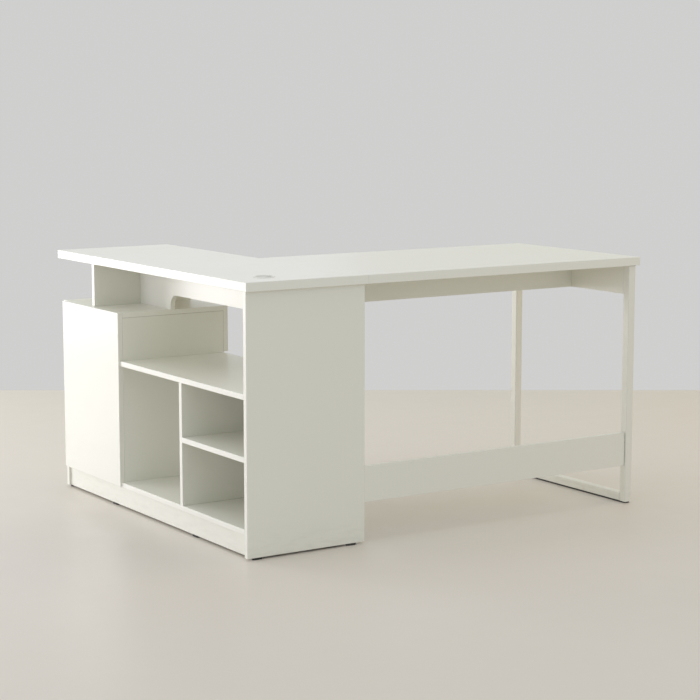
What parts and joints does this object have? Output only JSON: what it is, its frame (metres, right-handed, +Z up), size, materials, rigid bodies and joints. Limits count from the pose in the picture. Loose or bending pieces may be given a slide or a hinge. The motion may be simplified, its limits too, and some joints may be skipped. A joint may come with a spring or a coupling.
{
  "type": "corner desk",
  "caption": "L-shaped corner desk with an open storage unit and hinged-door cabinet under one wing and a square-tube loop leg under the other.",
  "frame": {"origin": "floor level at the middle of the footprint's bounding rectangle", "axes": "+X along the main top from the storage unit to the leg frame, +Y along the return towards the cabinet, +Z up"},
  "size_m": [1.36, 1.17, 0.7524],
  "materials": {
    "white_board": "white melamine-faced board with matching edge banding, satin",
    "back_sheet": "white-faced hardboard",
    "white_steel": "white powder coat",
    "black_plastic": "matt moulded plastic",
    "grommet_plastic": "satin moulded plastic",
    "latch_plastic": "moulded plastic",
    "bright_steel": "nickel plated",
    "zinc_steel": "zinc plated",
    "beech": "plain beech dowel"
  },
  "bodies": {
    "desk": {"barrel_nuts": "zinc_steel", "bolt_spacers": "zinc_steel", "bottom_shelf": "white_board", "bracket_screws": "zinc_steel", "cabinet_back_rail": "white_board", "cabinet_back_sheet": "back_sheet", "cabinet_far_side": "white_board", "cabinet_floor": "white_board", "cabinet_near_side": "white_board", "cabinet_shelf": "white_board", "cabinet_top": "white_board", "cam_bolts": "zinc_steel", "cam_locks": "zinc_steel", "cross_rail": "white_board", "divider": "white_board", "dowels": "beech", "end_panel": "white_board", "far_upright": "white_steel", "floor_rail": "white_steel", "front_plinth": "white_board", "grommet_ring": "grommet_plastic", "hinge_pins": "bright_steel", "hinge_side_leaves": "bright_steel", "hinge_side_screws": "bright_steel", "latch_housing": "latch_plastic", "latch_screws": "bright_steel", "leg_lugs": "white_steel", "leg_plugs": "black_plastic", "leg_strip": "black_plastic", "long_shelf": "white_board", "lower_back": "white_board", "lug_screws": "zinc_steel", "main_apron": "white_board", "main_top": "white_board", "middle_shelf": "white_board", "near_upright": "white_steel", "panel_glides": "black_plastic", "plinth_glides": "black_plastic", "rear_plinth": "white_board", "return_apron": "white_board", "return_top": "white_board", "seam_plates": "zinc_steel", "shelf_pins": "bright_steel", "stretcher": "white_board", "stretcher_bolts": "bright_steel", "support_panel": "white_board", "top_brackets": "zinc_steel"},
    "door": {"door": "white_board", "hinge_door_leaves": "bright_steel", "hinge_door_screws": "bright_steel", "strike_plate": "bright_steel"},
    "latch_plunger": {"latch_plunger": "latch_plastic"},
    "grommet_cap": {"grommet_cap": "grommet_plastic"}
  },
  "joints": [
    {"name": "door_hinge", "type": "hinge", "parent": "desk", "child": "door", "pos_m": [-0.667, 0.562, 0.33], "axis": [0, 0, -1], "range_deg": [0, 115]},
    {"name": "latch_press", "type": "slide", "parent": "desk", "child": "latch_plunger", "axis": [1, 0, 0], "range_m": [0, 0.004], "stiffness_N_per_m": 200, "springref_m": -0.004},
    {"name": "grommet_cap_lift", "type": "slide", "parent": "desk", "child": "grommet_cap", "axis": [0, 0, 1], "range_m": [0, 0.03]}
  ]
}
